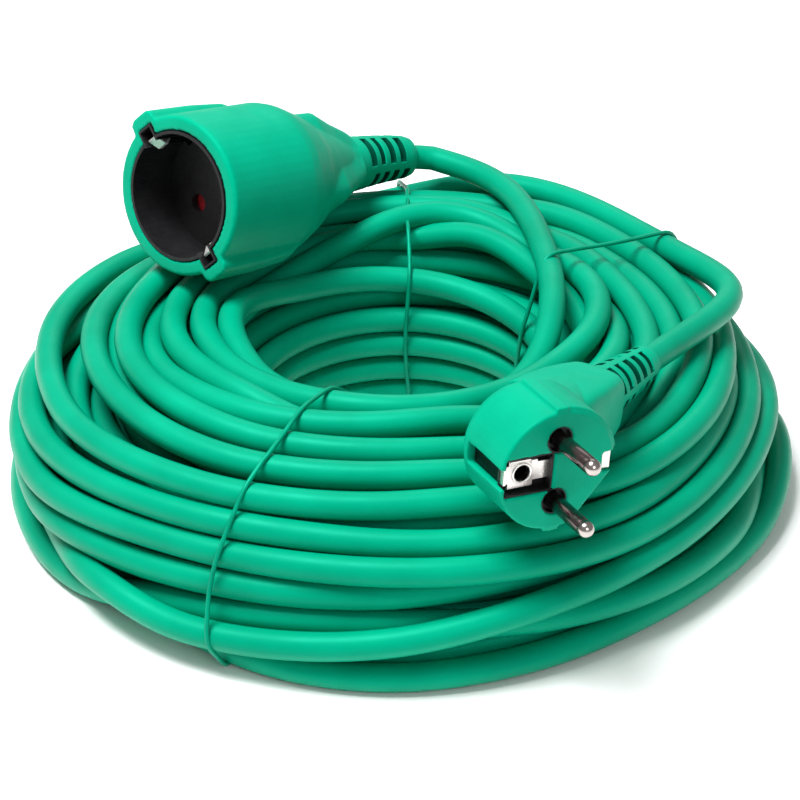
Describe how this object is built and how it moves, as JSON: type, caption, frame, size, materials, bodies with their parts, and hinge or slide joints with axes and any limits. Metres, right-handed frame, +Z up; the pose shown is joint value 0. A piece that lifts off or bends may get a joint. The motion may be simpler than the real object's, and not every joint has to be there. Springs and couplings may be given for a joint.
{
  "type": "extension cord",
  "caption": "Coiled green earthed mains extension cord with an angled moulded plug, a round trailing socket with a recessed black well, and thin wire ties.",
  "frame": {"origin": "centre of the bounding box in plan, on the surface that the coil lies on", "axes": "+Z up; +X to the right and -Y toward the viewer of the coil's front, where the plug's pins point"},
  "size_m": [0.2518, 0.2618, 0.1138],
  "materials": {
    "cord_sheath": "smooth semi-matt green PVC",
    "moulded_pvc": "satin moulded green PVC",
    "white_thermoplastic": "matt moulded",
    "black_thermoplastic": "satin moulded",
    "red_thermoplastic": "matt moulded",
    "nickel_pin": "nickel plated brass",
    "nickel_strip": "nickel plated strip",
    "contact_brass": "bright strip",
    "spring_steel": "drawn wire",
    "core_brown": "wire insulation",
    "core_blue": "wire insulation",
    "core_green_yellow": "wire insulation, green and yellow",
    "tie_coating": "plastic coated wire"
  },
  "bodies": {
    "cord_set": {"cord_coil": "cord_sheath", "cord_plug_lead": "cord_sheath", "cord_socket_lead": "cord_sheath", "plug_body": "moulded_pvc", "plug_strain_relief": "moulded_pvc", "plug_bridge": "white_thermoplastic", "plug_pin_line": "nickel_pin", "plug_pin_neutral": "nickel_pin", "plug_earth_strap": "nickel_strip", "plug_earth_socket": "nickel_strip", "plug_core_brown": "core_brown", "plug_core_blue": "core_blue", "plug_core_earth": "core_green_yellow", "socket_body": "moulded_pvc", "socket_strain_relief": "moulded_pvc", "socket_insert": "black_thermoplastic", "socket_contact_carrier": "black_thermoplastic", "socket_contact_line": "contact_brass", "socket_contact_neutral": "contact_brass", "socket_earth_strap": "nickel_strip", "shutter_spring": "spring_steel", "socket_core_brown": "core_brown", "socket_core_blue": "core_blue", "socket_core_earth": "core_green_yellow", "tie_front": "tie_coating", "tie_back": "tie_coating", "tie_right": "tie_coating"},
    "shutter": {"socket_shutter": "red_thermoplastic"},
    "earth_clip_lower": {"socket_earth_clip_lower": "nickel_strip"},
    "earth_clip_upper": {"socket_earth_clip_upper": "nickel_strip"}
  },
  "joints": [
    {"name": "shutter_slide", "type": "slide", "parent": "cord_set", "child": "shutter", "axis": [0.4376, -0.5732, -0.6928], "range_m": [0, 0.0055], "stiffness_N_per_m": 300, "deforming": ["shutter_spring"]},
    {"name": "earth_clip_lower_flex", "type": "hinge", "parent": "cord_set", "child": "earth_clip_lower", "pos_m": [-0.04783, 0.0293, 0.06892], "axis": [0.6272, -0.3575, 0.692], "range_deg": [0, 7], "stiffness_Nm_per_rad": 0.6},
    {"name": "earth_clip_upper_flex", "type": "hinge", "parent": "cord_set", "child": "earth_clip_upper", "pos_m": [-0.06726, 0.05475, 0.09967], "axis": [-0.6272, 0.3575, -0.692], "range_deg": [0, 7], "stiffness_Nm_per_rad": 0.6}
  ]
}
